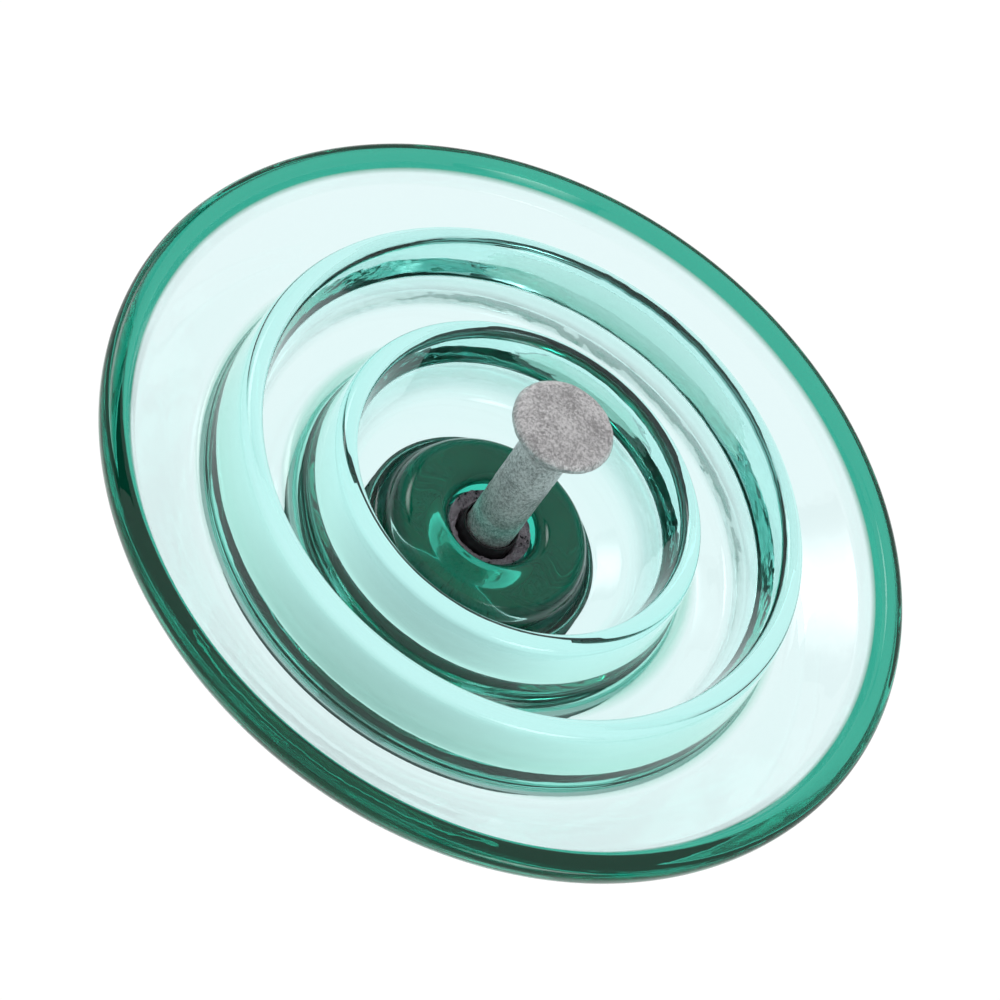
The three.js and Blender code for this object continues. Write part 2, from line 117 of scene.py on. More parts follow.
# ---- Fillings and locking pin ----
GAP = 0.3 * MM
COAT_THICKNESS = 0.8 * MM
CUSHION_RADIUS = 29 * MM
WIRE_RADIUS = 2.1 * MM
WIRE_CLEARANCE = 0.5 * MM
LEG_GAP = 0.5 * MM
LEG_REACH = 4 * MM
HOOK_LENGTH = 4 * MM
HOOK_SPREAD = 2.6 * MM
EYE_RADIUS = 7.5 * MM
EYE_STANDOFF = 3.5 * MM
WIRE_LIFT = 0.1 * MM
LEG_Z = SOCKET_FLOOR + WIRE_RADIUS + WIRE_CLEARANCE + WIRE_LIFT

# ---- How finely round shapes are cut ----
SHELL_TURNS = 288
FITTING_TURNS = 128
ARC_STEP = math.pi / 20
LONGEST_STEP = 2.5 * MM

# ---- Camera, as it sees the rim's plane ----
TILT = math.radians(41.2)        # view line to the disc's axis
PIN_HEADING = math.radians(-54.1)  # where the pin points in the picture, clockwise from the right
DISTANCE = 4.75                  # camera to the rim's plane, in disc radii
SCALE = 0.4311                   # share of the picture's width for one disc radius
ASIDE = (0.0607, -0.0527)        # rim's centre from the middle of the view, right and down, in radii
RIM_PLANE = -125.4 * MM
SENSOR = 36.0

# ---- Looks ----
ABSORPTION = {"color": (0, 0.945, 0.85), "density": 12}
SKIN_TINT = (0.86, 0.965, 0.975)
# Painted shade: the boss, the rim's bead and the ribs' outer roots get a dark emerald surface colour for
# the light that thick glass holds back
HUB_SHADE = {"reach": 31 * MM, "color": (0.01, 0.62, 0.38)}
RIM_SHADE = {"reach": 118.4 * MM, "height": -123.5 * MM, "color": (0.004, 0.27, 0.15)}
ROOT_SHADE_SHARE = 0.5
ROOT_SHADES = (                   # the outer root of each rib, where the glass is thick
    {"from": 90 * MM, "to": 95 * MM, "height": -104 * MM},
    {"from": 60 * MM, "to": 67 * MM, "height": -96 * MM},
)
SOLID_SHARE = 0.22                # share of light that the glass scatters instead of letting through, where its colour is painted shade
SEAM = {"reach": 79.4 * MM, "height": -104 * MM, "width": 3 * MM, "depth": 0.18 * MM, "lumps": 2.5 * MM}
MOUTH_HOLLOW = 3 * MM
DOME = {"full": 1.03, "dim": 0.58, "full_at": 0.5, "dim_at": -0.25}
SOFTBOXES = {
    "key": {
        "place": (0.45, 0.35, -0.75), "target": (0, 0, -0.12),
        "half_size": (0.26, 0.18), "strength": 5,
    },
    "fill": {
        "place": (-0.55, -0.5, -0.45), "target": (0, 0, -0.13),
        "half_size": (0.3, 0.2), "strength": 5,
    },
}


def outline(corners, arc_step=ARC_STEP):
    """Points through corners (radius, height, fillet), with an arc at each corner that has a fillet."""
    points = []
    for i, corner in enumerate(corners):
        here = Vector(corner[:2])
        fillet = corner[2] if len(corner) > 2 else 0
        if not fillet:
            points.append(here)
            continue
        last, following = corners[i - 1], corners[(i + 1) % len(corners)]
        back, on = Vector(last[:2]) - here, Vector(following[:2]) - here
        room = min(back.length * (0.49 if len(last) > 2 else 0.98),
                   on.length * (0.49 if len(following) > 2 else 0.98))
        back.normalize()
        on.normalize()
        half = back.angle(on) / 2
        tangent = min(fillet / math.tan(half), room)
        radius = tangent * math.tan(half)
        centre = here + (back + on).normalized() * radius / math.sin(half)
        start, end = here + back * tangent - centre, here + on * tangent - centre
        sweep = math.atan2(start.x * end.y - start.y * end.x, start.dot(end))
        steps = max(2, math.ceil(abs(sweep) / arc_step))
        for s in range(steps + 1):
            a = sweep * s / steps
            points.append(centre + Vector((start.x * math.cos(a) - start.y * math.sin(a),
                                           start.x * math.sin(a) + start.y * math.cos(a))))
    return points


def with_short_steps(points, longest=LONGEST_STEP):
    """The same outline with no side longer than a step, so that shading stays true on long walls."""
    result = [points[0]]
    for a, b in zip(points, points[1:]):
        parts = max(1, math.ceil((b - a).length / longest))
        result += [a.lerp(b, k / parts) for k in range(1, parts + 1)]
    return result


def revolve(name, points, turns, closed=False, smooth=True):
    """A smooth mesh of the outline spun about Z. An outline with ends on the axis closes there."""
    mesh = bmesh.new()
    rings = []
    for p in points:
        if p.x < 1e-7:
            rings.append([mesh.verts.new((0, 0, p.y))])
            continue
        rings.append([mesh.verts.new((p.x * math.cos(2 * math.pi * k / turns),
                                      p.x * math.sin(2 * math.pi * k / turns), p.y))
                      for k in range(turns)])
    pairs = list(zip(rings, rings[1:] + rings[:1])) if closed else list(zip(rings, rings[1:]))
    for a, b in pairs:
        for k in range(turns):
            m = (k + 1) % turns
            if len(a) == 1:
                mesh.faces.new((a[0], b[k], b[m]))
            elif len(b) == 1:
                mesh.faces.new((a[k], b[0], a[m]))
            else:
                mesh.faces.new((a[k], b[k], b[m], a[m]))
    bmesh.ops.recalc_face_normals(mesh, faces=mesh.faces)
    for face in mesh.faces:
        face.smooth = smooth
    data = bpy.data.meshes.new(name)
    mesh.to_mesh(data)
    mesh.free()
    return data


def to_piece(name, data, body, material, slot, *replaced):
    """An object of the scene that rides on a body and stands for the CAD nodes that it replaces."""
    piece = bpy.data.objects.new(name, data)
    bpy.context.scene.collection.objects.link(piece)
    data.materials.append(material)
    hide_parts(*replaced)
    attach(piece, body)
    return piece


def roughen(data, depth, size, where=None):
    """Moves the surface inwards by up to depth, with lumps about size across."""
    for vertex, normal in zip(data.vertices, [v.normal.copy() for v in data.vertices]):
        share = where(vertex.co) if where else 1.0
        if share > 0:
            level = noise.fractal(vertex.co / size, 0.8, 2.0, 3)
            vertex.co -= normal * depth * share * min(1.0, max(0.0, 0.5 + 0.5 * level))


# ---- Materials ----

class Nodes:
    """A material's node tree, with short calls for the few kinds of node that these materials use."""

    def __init__(self, name):
        self.material = bpy.data.materials.new(name)
        self.material.use_nodes = True
        self.tree = self.material.node_tree
        self.surface = self.tree.nodes["Principled BSDF"]
        self.place = self.tree.nodes.new("ShaderNodeTexCoord").outputs["Object"]

    def link(self, source, node, socket):
        self.tree.links.new(source, node.inputs[socket])

    def add(self, kind, **settings):
        node = self.tree.nodes.new(kind)
        for key, value in settings.items():
            setattr(node, key, value)
        return node

    def noise(self, size, detail=4.0, roughness=0.55, stretch=None):
        """Noise whose lumps are about size metres across; stretch squeezes them along X, Y and Z."""
        node = self.add("ShaderNodeTexNoise")
        node.inputs["Scale"].default_value = 1 / size
        node.inputs["Detail"].default_value = detail
        node.inputs["Roughness"].default_value = roughness
        self.link(self.stretched(stretch), node, "Vector")
        return node.outputs["Fac"]

    def cells(self, size, feature="F1", output="Distance", stretch=None):
        node = self.add("ShaderNodeTexVoronoi", feature=feature)
        node.inputs["Scale"].default_value = 1 / size
        self.link(self.stretched(stretch), node, "Vector")
        return node.outputs[output]

    def stretched(self, stretch):
        if stretch is None:
            return self.place
        node = self.add("ShaderNodeVectorMath", operation="MULTIPLY")
        node.inputs[1].default_value = stretch
        self.link(self.place, node, 0)
        return node.outputs[0]

    def ramp(self, source, stops):
        """A colour for each level of a source: stops are (level, colour)."""
        node = self.add("ShaderNodeValToRGB")
        self.link(source, node, "Fac")
        for level, _ in stops[1:-1]:
            node.color_ramp.elements.new(level)
        for element, (level, color) in zip(node.color_ramp.elements, stops):
            element.position = level
            element.color = (*color, 1)
        return node.outputs["Color"]

    def span(self, source, low, high, to_low=0.0, to_high=1.0):
        node = self.add("ShaderNodeMapRange")
        self.link(source, node, "Value")
        for socket, value in (("From Min", low), ("From Max", high),
                              ("To Min", to_low), ("To Max", to_high)):
            node.inputs[socket].default_value = value
        return node.outputs["Result"]

    def mix(self, share, a, b, blend="MIX"):
        """Colour a mixed with b; each is a socket or a plain colour."""
        node = self.add("ShaderNodeMix", data_type="RGBA", blend_type=blend)
        for socket, value in ((0, share), (6, a), (7, b)):
            if hasattr(value, "is_output"):
                self.tree.links.new(value, node.inputs[socket])
            elif socket:
                node.inputs[socket].default_value = (*value, 1)
            else:
                node.inputs[socket].default_value = value
        return node.outputs[2]

    def sum(self, a, b, weight=1.0):
        node = self.add("ShaderNodeMath", operation="MULTIPLY_ADD")
        self.link(b, node, 0)
        node.inputs[1].default_value = weight
        self.link(a, node, 2)
        return node.outputs[0]

    def product(self, a, b):
        node = self.add("ShaderNodeMath", operation="MULTIPLY")
        self.link(a, node, 0)
        self.link(b, node, 1)
        return node.outputs[0]

    def height(self):
        split = self.add("ShaderNodeSeparateXYZ")
        self.link(self.place, split, 0)
        return split.outputs["Z"]

    def reach(self):
        """Distance from the disc's axis."""
        flat = self.add("ShaderNodeVectorMath", operation="MULTIPLY")
        flat.inputs[1].default_value = (1, 1, 0)
        self.link(self.place, flat, 0)
        length = self.add("ShaderNodeVectorMath", operation="LENGTH")
        self.link(flat.outputs[0], length, 0)
        return length.outputs["Value"]

    def bump(self, height, depth, strength=1.0):
        node = self.add("ShaderNodeBump")
        node.inputs["Distance"].default_value = depth
        node.inputs["Strength"].default_value = strength
        self.link(height, node, "Height")
        self.link(node.outputs["Normal"], self.surface, "Normal")

    def color(self, source):
        self.link(source, self.surface, "Base Color")

    def rough(self, source, low, high):
        self.link(self.span(source, 0.3, 0.7, low, high), self.surface, "Roughness")

    def set(self, **values):
        for key, value in values.items():
            self.surface.inputs[key.replace("_", " ")].default_value = value


def galvanised(name, dark, light, rust_above, sheen_rough):
    """Hot-dip galvanised metal: cloudy zinc, small pits darkened as painted shade, and a few rust-brown
    specks.
    """
    m = Nodes(name)
    m.set(Metallic=0.55)
    clouds = m.noise(9 * MM, detail=6, roughness=0.6)
    grain = m.noise(0.9 * MM, detail=5, roughness=0.75)
    speckle = m.noise(1.0 * MM, detail=4, roughness=0.85)
    base = m.ramp(m.sum(speckle, clouds, 0.4), [(0.58, dark), (0.80, light), (1.0, (0.85, 0.85, 0.85))])
    # Painted shade: the pits are darkened up to about half way to near-black
    pits = m.span(m.noise(1.6 * MM, detail=4, roughness=0.75), 0.30, 0.38, 1.0, 0.0)
    base = m.mix(m.span(pits, 0, 1, 0, 0.55), base, (0.10, 0.10, 0.105))
    rust = m.span(m.noise(5 * MM, detail=5, roughness=0.7), rust_above, rust_above + 0.05)
    base = m.mix(rust, base, (0.23, 0.12, 0.07))
    m.color(base)
    m.rough(clouds, *sheen_rough)
    m.bump(m.sum(m.sum(grain, clouds, 1.5), pits, -0.5), 0.25 * MM, 0.8)
    return m.material


# ---- Glass shell ----

def boss_level(top):
    """Height of the boss's lowest ring under a head whose top is at the given height."""
    foot = BOSS_RADIUS + BOSS_FLARE
    return top - NECK_DEPTH - SHED_SLOPE * (foot - NECK_RADIUS) - BOSS_FLOOR - BOSS_HEIGHT


def shell_corners(top):
    """The shell's outline from the head's top, round the rim and ribs, to the top of the pin's hole."""
    neck_foot = top - NECK_DEPTH
    outer = -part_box("glass_shell")[0].x

    def line(r):
        return neck_foot - SHED_SLOPE * (r - NECK_RADIUS)

    def rib(radius, thickness, height, outer_floor, inner_floor, outer_fillet, inner_fillet):
        outside, inside = radius + thickness / 2, radius - thickness / 2
        outer_root, inner_root = line(outside) - outer_floor, line(inside) - inner_floor
        tip = outer_root - height
        return [
            (outside + WALL_DRAFT * height, outer_root, outer_fillet),
            (outside, tip, thickness / 2),
            (inside, tip, thickness / 2),
            (inside - WALL_DRAFT * (inner_root - tip), inner_root, inner_fillet),
        ]

    rim_inside = outer - RIM_WIDTH
    rim_top = line(outer) - BRIM_FALL
    lip_root = rim_inside - LIP_SPREAD
    knee = outer - KNEE_INSET
    boss_foot = BOSS_RADIUS + BOSS_FLARE
    boss_bottom = boss_level(top)
    throat_top = boss_bottom + THROAT_LENGTH
    return [
        (0, top),
        (HEAD_RADIUS, top, HEAD_ROUND),
        (NECK_RADIUS, neck_foot, NECK_FILLET),
        (knee, line(knee), KNEE_ROUND),
        (outer, rim_top, RIM_TOP_ROUND),
        (outer, rim_top - RIM_HEIGHT, RIM_ROUND),
        (rim_inside, rim_top - RIM_HEIGHT, RIM_ROUND),
        (lip_root, line(lip_root) - LIP_FLOOR, LIP_FILLET),
        *rib(**OUTER_RIB),
        *rib(**INNER_RIB),
        (boss_foot, line(boss_foot) - BOSS_FLOOR, BOSS_FILLET),
        (BOSS_RADIUS, boss_bottom, BOSS_ROUND),
        (MOUTH_RADIUS + MOUTH_FLARE, boss_bottom, MOUTH_ROUND),
        (MOUTH_RADIUS, throat_top),
        (HOLE_WAIST_RADIUS, throat_top + THROAT_LENGTH, HOLE_ROUND),
        (HOLE_RADIUS, top - HEAD_THICKNESS, HOLE_ROUND),
        (0, top - HEAD_THICKNESS),
    ]


def glass():
    """Green glass: pale where it is thin, with dark emerald painted as shade in the boss, the rim's bead
    and the ribs' outer roots.
    """
    m = Nodes("glass")
    m.set(Roughness=0.0, IOR=1.51)
    reach, height = m.reach(), m.height()
    hub_shade = m.span(reach, HUB_SHADE["reach"] - 1 * MM, HUB_SHADE["reach"] + 1 * MM, 1, 0)
    rim = m.product(m.span(reach, RIM_SHADE["reach"] - 0.5 * MM, RIM_SHADE["reach"] + 0.5 * MM),
                    m.span(height, RIM_SHADE["height"] - 0.5 * MM, RIM_SHADE["height"] + 0.5 * MM, 1, 0))
    # Painted shade: dark emerald mixed into the colour of the boss, the rim's bead and the ribs' roots
    color = m.mix(hub_shade, SKIN_TINT, HUB_SHADE["color"])
    color = m.mix(rim, color, RIM_SHADE["color"])
    painted_shade = m.sum(hub_shade, rim)
    for root in ROOT_SHADES:
        inside = m.span(reach, root["from"] - 1.5 * MM, root["from"] + 1.5 * MM)
        outside = m.span(reach, root["to"] - 1.5 * MM, root["to"] + 1.5 * MM, 1, 0)
        under = m.span(height, root["height"] - 0.5 * MM, root["height"] + 0.5 * MM, 1, 0)
        root_shade = m.product(m.product(inside, outside), under)
        color = m.mix(m.span(root_shade, 0, 1, 0, ROOT_SHADE_SHARE), color, HUB_SHADE["color"])
        painted_shade = m.sum(painted_shade, root_shade, ROOT_SHADE_SHARE)
    m.color(color)
    m.link(m.span(painted_shade, 0, 1, 1, 1 - SOLID_SHARE), m.surface, "Transmission Weight")
    flow = m.noise(16 * MM, detail=2, stretch=(1, 1, 2.5))
    chill = m.noise(3.5 * MM, detail=3, stretch=(1, 1, 3))
    m.bump(m.sum(flow, chill, 0.02), 0.07 * MM)
    volume = m.add("ShaderNodeVolumeAbsorption")
    volume.inputs["Color"].default_value = (*ABSORPTION["color"], 1)
    volume.inputs["Density"].default_value = ABSORPTION["density"]
    m.link(volume.outputs["Volume"], m.tree.nodes["Material Output"], "Volume")
    return m.material


def seam_strength(place):
    """How strongly the mould's joint line in the groove marks the glass at a place."""
    reach = math.hypot(place.x, place.y) - SEAM["reach"]
    rise = place.z - SEAM["height"]
    return math.exp(-(reach * reach + rise * rise) / SEAM["width"] ** 2)


def make_shell():
    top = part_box("glass_shell")[1].z
    data = revolve("glass_shell_fine", with_short_steps(outline(shell_corners(top))), SHELL_TURNS)
    roughen(data, SEAM["depth"], SEAM["lumps"], seam_strength)
    to_piece("glass_shell_fine", data, "insulator", glass(), "glass", "glass_shell")


# ---- Pin ----

def make_pin():
    end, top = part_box("pin")[0].z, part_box("pin")[1].z
    land_foot = top - PIN_HEAD_LAND
    points = outline([
        (0, end),
        (BALL_FLAT_RADIUS, end),
        (BALL_FACE_RADIUS, end + BALL_DOME, BALL_FACE_ROUND),
        (BALL_RADIUS, end + BALL_EDGE, BALL_EDGE_ROUND),
        (BALL_RADIUS - BALL_LAND_TAPER, end + BALL_EDGE + BALL_LAND, BALL_LAND_ROUND),
        (SHANK_RADIUS, end + BALL_HEIGHT, SHANK_FILLET),
        (SHANK_RADIUS, land_foot - PIN_CONE_LENGTH, 2 * SHANK_RADIUS),
        (PIN_HEAD_RADIUS, land_foot, PIN_HEAD_LAND),
        (PIN_HEAD_RADIUS, top, PIN_HEAD_ROUND),
        (0, top),
    ])
    data = revolve("pin_fine", with_short_steps(points, 0.6 * MM), FITTING_TURNS)
    roughen(data, 0.22 * MM, 3.2 * MM)
    material = galvanised("galvanised_pin", (0.36, 0.35, 0.36), (0.93, 0.92, 0.93), 0.68, (0.34, 0.52))
    to_piece("pin_fine", data, "insulator", material, "galvanised_pin", "pin")


# ---- Cap ----

def cap_wall(clearance):
    """The cap's inner wall from the crown to the mouth, with ridges that grip the cement."""
    underside = SOCKET_FLOOR - CROWN_THICKNESS
    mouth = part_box("cap")[0].z
    wide, narrow = CAP_MOUTH_RADIUS + TOOTH_DEPTH - clearance, CAP_MOUTH_RADIUS - clearance
    first = underside - SHOULDER_DROP
    pitch = (first - mouth) / TOOTH_COUNT
    wall = [(wide, underside - clearance, SHOULDER_ROUND - clearance)]
    for tooth in range(TOOTH_COUNT):
        top = first - tooth * pitch
        wall.append((wide, top))
        if tooth < TOOTH_COUNT - 1:
            wall.append((narrow, top - pitch + TOOTH_STEP))
    return wall + [(narrow, mouth)]


def prism(name, shape, bottom, top):
    """An upright solid over a flat outline."""
    mesh = bmesh.new()
    lower = [mesh.verts.new((x, y, bottom)) for x, y in shape]
    face = mesh.faces.new(lower)
    raised = bmesh.ops.extrude_face_region(mesh, geom=[face])["geom"]
    bmesh.ops.translate(mesh, vec=(0, 0, top - bottom),
                        verts=[part for part in raised if isinstance(part, bmesh.types.BMVert)])
    bmesh.ops.recalc_face_normals(mesh, faces=mesh.faces)
    data = bpy.data.meshes.new(name)
    mesh.to_mesh(data)
    mesh.free()
    return data


def rectangle(x0, x1, half):
    return [(x0, -half), (x1, -half), (x1, half), (x0, half)]


def way_in(radius, reach):
    """A half round about the axis with straight sides that run out to the front."""
    steps = FITTING_TURNS // 2
    round_end = [(radius * math.cos(a), radius * math.sin(a))
                 for a in (math.pi / 2 + math.pi * k / steps for k in range(steps + 1))]
    return [(reach, radius), *round_end, (reach, -radius)]


def leg_hole(reach):
    """The oval hole for the locking pin's legs, from the axis out to the back."""
    half, radius = WIRE_RADIUS + LEG_GAP / 2, WIRE_RADIUS + WIRE_CLEARANCE
    oval = []
    for side in (1, -1):
        oval += [(side * (half + radius * math.cos(a)), side * radius * math.sin(a))
                 for a in (-math.pi / 2 + math.pi * k / 16 for k in range(17))]
    data = prism("leg_hole", oval, 0, reach)
    data.transform(Matrix(((0, 0, -1, 0), (1, 0, 0, 0), (0, 1, 0, LEG_Z), (0, 0, 0, 1))))
    return data


def carve(data, cutters, edge):
    """The mesh less every cutter, with its sharp edges rounded off."""
    piece = bpy.data.objects.new("carved", data)
    bpy.context.scene.collection.objects.link(piece)
    tools = []
    for cutter in cutters:
        tool = bpy.data.objects.new(cutter.name, cutter)
        bpy.context.scene.collection.objects.link(tool)
        tools.append(tool)
        cut = piece.modifiers.new(cutter.name, "BOOLEAN")
        cut.operation = "DIFFERENCE"
        cut.solver = "EXACT"
        cut.object = tool
    bevel = piece.modifiers.new("edges", "BEVEL")
    bevel.width = edge
    bevel.segments = 3
    bevel.limit_method = "ANGLE"
    bevel.angle_limit = math.radians(40)
    shaped = bpy.data.meshes.new_from_object(piece.evaluated_get(bpy.context.evaluated_depsgraph_get()))
    for thing in (*tools, piece):
        bpy.data.objects.remove(thing)
    return shaped


def make_cap():
    mouth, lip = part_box("cap")[0].z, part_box("cap")[1].z
    outer = CAP_MOUTH_RADIUS + TOOTH_DEPTH + CAP_WALL
    bead_top = mouth + BEAD_HEIGHT
    underside = SOCKET_FLOOR - CROWN_THICKNESS
    body = revolve("cap_fine", outline([
        (0, lip),
        (SOCKET_OUTER, lip, 3 * MM),
        (SOCKET_OUTER, underside + CAP_WALL),
        (outer, underside + CAP_WALL, SHOULDER_ROUND + CAP_WALL),
        (outer, bead_top + BEAD_WIDTH),
        (outer + BEAD_WIDTH, bead_top, BEAD_WIDTH),
        (outer + BEAD_WIDTH, mouth, BEAD_WIDTH),
        *reversed(cap_wall(0)),
        (0, underside),
    ], math.pi / 12), FITTING_TURNS, smooth=False)
    reach = SOCKET_OUTER + 1 * MM
    seat_foot = SLOT_RADIUS + SEAT_RISE + SEAT_STEP
    seat = revolve("seat", [Vector(p) for p in (
        (0, -SEAT_STEP - 1 * MM), (seat_foot, -SEAT_STEP - 1 * MM), (seat_foot, -SEAT_STEP),
        (SLOT_RADIUS, SEAT_RISE), (0, SEAT_RISE))], FITTING_TURNS, smooth=False)
    hook_room = WIRE_RADIUS + LEG_GAP / 2 + HOOK_SPREAD + WIRE_RADIUS + WIRE_CLEARANCE
    cutters = [
        prism("ball_way", way_in(SOCKET_RADIUS, reach), SOCKET_FLOOR, -SEAT_STEP),
        prism("shank_way", way_in(SLOT_RADIUS, reach), -SEAT_STEP - 1 * MM, lip + 1 * MM),
        seat,
        prism("pocket", rectangle(-SOCKET_RADIUS - POCKET_DEPTH, 0, hook_room),
              SOCKET_FLOOR, LEG_Z + WIRE_RADIUS + WIRE_CLEARANCE),
        prism("front", rectangle(SOCKET_OUTER - FRONT_SETBACK, reach + FRONT_SETBACK, 2 * reach),
              SOCKET_FLOOR, lip + 1 * MM),
        leg_hole(reach),
    ]
    data = carve(body, cutters, 0.7 * MM)
    for face in data.polygons:
        face.use_smooth = True
    data.set_sharp_from_angle(angle=math.radians(32))
    material = galvanised("galvanised_cap", (0.26, 0.27, 0.27), (0.44, 0.45, 0.45), 0.72, (0.45, 0.65))
    data.materials.clear()
    cap = to_piece("cap_fine", data, "insulator", material, "galvanised_cap", "cap")
    cap.visible_transmission = False


# ---- Cements, coats and cushions ----

def cement(name, dark, light):
    """Coarse cement with sand grains, and small pores painted near-black as painted shade."""
    m = Nodes(name)
    m.set(Roughness=0.95)
    body = m.noise(5 * MM, detail=8, roughness=0.7)
    sand = m.cells(0.7 * MM)
    pores = m.span(m.noise(1.6 * MM, detail=4), 0.34, 0.40, 1, 0)
    base = m.ramp(m.sum(body, sand, 0.15), [(0.35, dark), (0.60, light), (1.0, light)])
    # Painted shade: the pores are coloured near-black
    m.color(m.mix(pores, base, (0.03, 0.03, 0.035)))
    m.bump(m.sum(m.sum(body, sand, 0.5), pores, -0.6), 0.6 * MM)
    return m.material


def bitumen():
    m = Nodes("bitumen")
    lumps = m.noise(4 * MM, detail=5)
    m.color(m.ramp(lumps, [
        (0.3, (0.008, 0.008, 0.009)), (0.6, (0.02, 0.02, 0.022)), (1.0, (0.05, 0.045, 0.04))]))
    m.rough(lumps, 0.25, 0.7)
    m.bump(lumps, 0.3 * MM)
    return m.material


def cork():
    m = Nodes("cork")
    m.set(Roughness=0.9)
    grains = m.cells(1.8 * MM, output="Color")
    edges = m.cells(1.8 * MM)
    base = m.mix(0.35, (0.42, 0.27, 0.15), grains, "SOFT_LIGHT")
    m.color(m.mix(m.span(edges, 0.5, 0.9), base, (0.16, 0.09, 0.05)))
    m.bump(edges, 0.3 * MM, 0.7)
    return m.material


def wire():
    """Drawn stainless wire: fine lines along the legs."""
    m = Nodes("stainless")
    m.set(Metallic=1.0, Anisotropic=0.4)
    lines = m.noise(0.25 * MM, detail=3, stretch=(0.03, 1, 1))
    blotches = m.noise(8 * MM, detail=3)
    m.color(m.ramp(m.sum(lines, blotches, 0.5), [
        (0.5, (0.42, 0.43, 0.44)), (0.8, (0.62, 0.63, 0.64)), (1.0, (0.7, 0.7, 0.7))]))
    m.rough(lines, 0.22, 0.4)
    m.bump(lines, 0.05 * MM, 0.6)
    return m.material


def wall_reach(wall, z):
    """A tapered wall's radius at a level."""
    (r0, z0), (r1, z1) = wall[-2][:2], wall[-1][:2]
    return r0 + (r1 - r0) * (z - z0) / (z1 - z0)


def make_cap_cement():
    low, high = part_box("cap_cement")[0].z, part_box("cap_cement")[1].z
    head_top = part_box("glass_shell")[1].z
    inner = CUSHION_RADIUS + GAP
    outside = cap_wall(COAT_THICKNESS + 2 * GAP)
    head = [
        (HEAD_RADIUS + GAP, head_top + GAP, HEAD_ROUND + GAP),
        (NECK_RADIUS + GAP, head_top - NECK_DEPTH),
    ]
    points = outline([
        (inner, high),
        *outside[:-1],
        (wall_reach(outside, low), low),
        (wall_reach(head, low), low),
        head[0],
        (inner, head_top + GAP),
    ])
    data = revolve("cap_cement_fine", with_short_steps(points, 1.2 * MM), FITTING_TURNS, closed=True)
    roughen(data, 0.8 * MM, 4 * MM, lambda place: 1.0 if place.z < low + 0.5 * MM else 0.15)
    material = cement("cement", (0.26, 0.28, 0.25), (0.50, 0.52, 0.48))
    to_piece("cap_cement_fine", data, "insulator", material, "cement", "cap_cement")


def make_pin_cement():
    low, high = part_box("pin_cement")[0].z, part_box("pin_cement")[1].z
    head_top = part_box("glass_shell")[1].z
    hole_top = head_top - HEAD_THICKNESS
    throat_top = boss_level(head_top) + THROAT_LENGTH
    room = COAT_THICKNESS + 2 * GAP
    inner = PIN_HEAD_RADIUS + room
    land_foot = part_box("pin")[1].z - PIN_HEAD_LAND
    shank = SHANK_RADIUS + room
    points = outline([
        (shank, low + MOUTH_HOLLOW),
        (shank + 1.5 * MM, low + MOUTH_HOLLOW * 0.7, 1 * MM),
        (MOUTH_RADIUS - GAP, low),
        (MOUTH_RADIUS - GAP, throat_top),
        (HOLE_WAIST_RADIUS - GAP, throat_top + THROAT_LENGTH, HOLE_ROUND),
        (HOLE_RADIUS - GAP, hole_top - GAP, HOLE_ROUND),
        (inner, hole_top - GAP),
        (inner, land_foot),
        (shank, land_foot - PIN_CONE_LENGTH, 2 * SHANK_RADIUS),
    ])
    data = revolve("pin_cement_fine", with_short_steps(points, 0.8 * MM), FITTING_TURNS, closed=True)
    roughen(data, 1.1 * MM, 2.4 * MM, lambda place: 1.0 if place.z < low + MOUTH_HOLLOW else 0.1)
    # Darker than the cap's cement as painted shade for the deep hole round the pin; the purple-grey tone is
    # the cement's own
    material = cement("mouth_cement", (0.12, 0.105, 0.125), (0.42, 0.38, 0.43))
    to_piece("pin_cement_fine", data, "insulator", material, "mouth_cement", "pin_cement")


def make_coats(material):
    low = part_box("pin_coating")[0].z
    pin_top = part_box("pin")[1].z
    land_foot = pin_top - PIN_HEAD_LAND

    def wall(clearance):
        return [(SHANK_RADIUS + clearance, land_foot - PIN_CONE_LENGTH, 2 * SHANK_RADIUS),
                (PIN_HEAD_RADIUS + clearance, land_foot, PIN_HEAD_LAND)]

    near, far = GAP, GAP + COAT_THICKNESS
    points = outline([
        (SHANK_RADIUS + far, low), *wall(far), (PIN_HEAD_RADIUS + far, pin_top),
        (PIN_HEAD_RADIUS + near, pin_top), *reversed(wall(near)), (SHANK_RADIUS + near, low)])
    data = revolve("pin_coating_fine", with_short_steps(points, 0.8 * MM), FITTING_TURNS, closed=True)
    roughen(data, 0.35 * MM, 2.5 * MM, lambda place: 1.0 if place.z < low + 2 * MM else 0.0)
    to_piece("pin_coating_fine", data, "insulator", material, "bitumen", "pin_coating")

    inner = CUSHION_RADIUS + GAP
    outside, inside = cap_wall(near), cap_wall(far)
    points = outline([(inner, outside[0][1]), *outside, *reversed(inside), (inner, inside[0][1])])
    data = revolve("cap_coating_fine", with_short_steps(points, 2 * MM), FITTING_TURNS, closed=True)
    coat = to_piece("cap_coating_fine", data, "insulator", material, "bitumen", "cap_coating")
    coat.visible_transmission = False


def make_cushions():
    """The cork discs stay as the CAD cuts them and take their finish here."""
    material = cork()
    for name in ("head_cushion", "pin_cushion"):
        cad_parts[name].data.materials.clear()
        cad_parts[name].data.materials.append(material)


# ---- Locking pin ----

def bezier(points, steps):
    """Points along a Bezier curve of any order, without its first point."""
    def at(t):
        level = points
        while len(level) > 1:
            level = [a.lerp(b, t) for a, b in zip(level, level[1:])]
        return level[0]
    return [at(k / steps) for k in range(1, steps + 1)]


